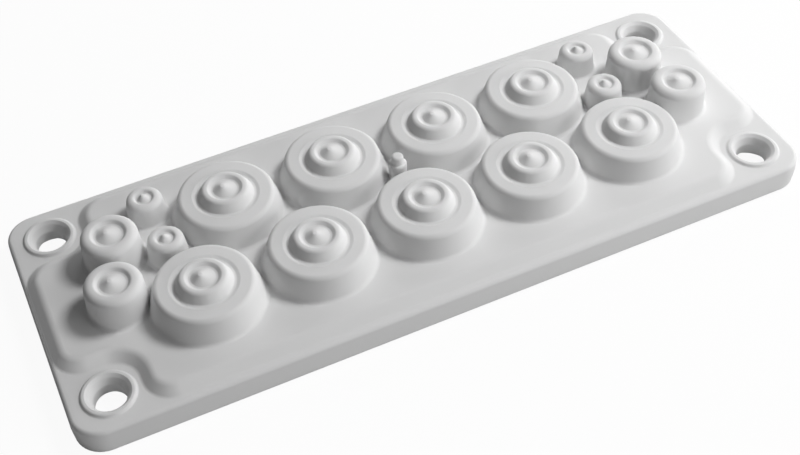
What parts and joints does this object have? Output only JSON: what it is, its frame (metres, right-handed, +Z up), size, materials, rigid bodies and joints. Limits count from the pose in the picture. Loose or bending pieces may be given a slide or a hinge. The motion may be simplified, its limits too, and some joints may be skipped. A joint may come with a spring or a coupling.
{
  "type": "cable entry plate",
  "caption": "Oblong elastomer cable entry plate with a raised field of closed round membranes in three sizes, hollow from below, and countersunk screw holes in level corner pads.",
  "frame": {"origin": "centre of the flat underside", "axes": "+X along the plate, +Y across it towards the row with fewer large membranes, +Z up out of the enclosure wall"},
  "size_m": [0.146, 0.055, 0.014],
  "materials": {
    "elastomer": "satin"
  },
  "bodies": {
    "root": {"entry_plate": "elastomer"}
  },
  "joints": []
}
